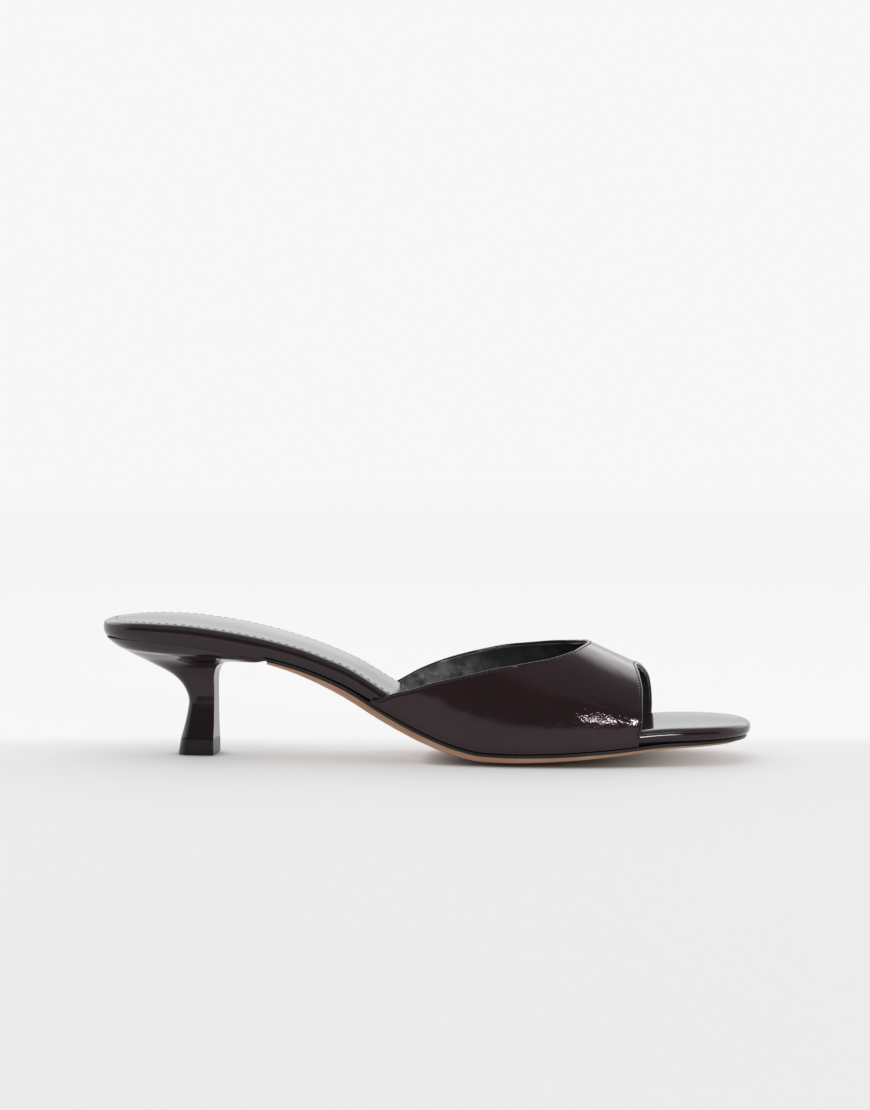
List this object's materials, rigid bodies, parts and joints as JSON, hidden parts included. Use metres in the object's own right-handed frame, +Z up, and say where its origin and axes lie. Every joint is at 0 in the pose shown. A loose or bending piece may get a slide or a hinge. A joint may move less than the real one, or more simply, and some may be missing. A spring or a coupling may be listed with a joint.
{
  "type": "kitten heel mule",
  "caption": "Open-toe leather mule with a slim kitten heel, a wrapped footbed and a thin tan outsole, for the right foot.",
  "frame": {"origin": "on the floor under the middle of the shoe's length and width", "axes": "+X from the heel to the toe, +Z up, -Y the lateral side, +Y the medial side"},
  "size_m": [0.242, 0.0792, 0.051],
  "materials": {
    "upper_leather": "glossy",
    "wrapped_leather": "glossy",
    "sock_lining": "satin",
    "heel_cover": "glossy",
    "rand_leather": "satin",
    "tan_leather": "satin",
    "tip_rubber": "matte"
  },
  "bodies": {
    "root": {"upper": "upper_leather", "sock": "sock_lining", "footbed": "wrapped_leather", "rand": "rand_leather", "outsole": "tan_leather", "heel": "heel_cover", "top_piece": "tip_rubber"}
  },
  "joints": []
}
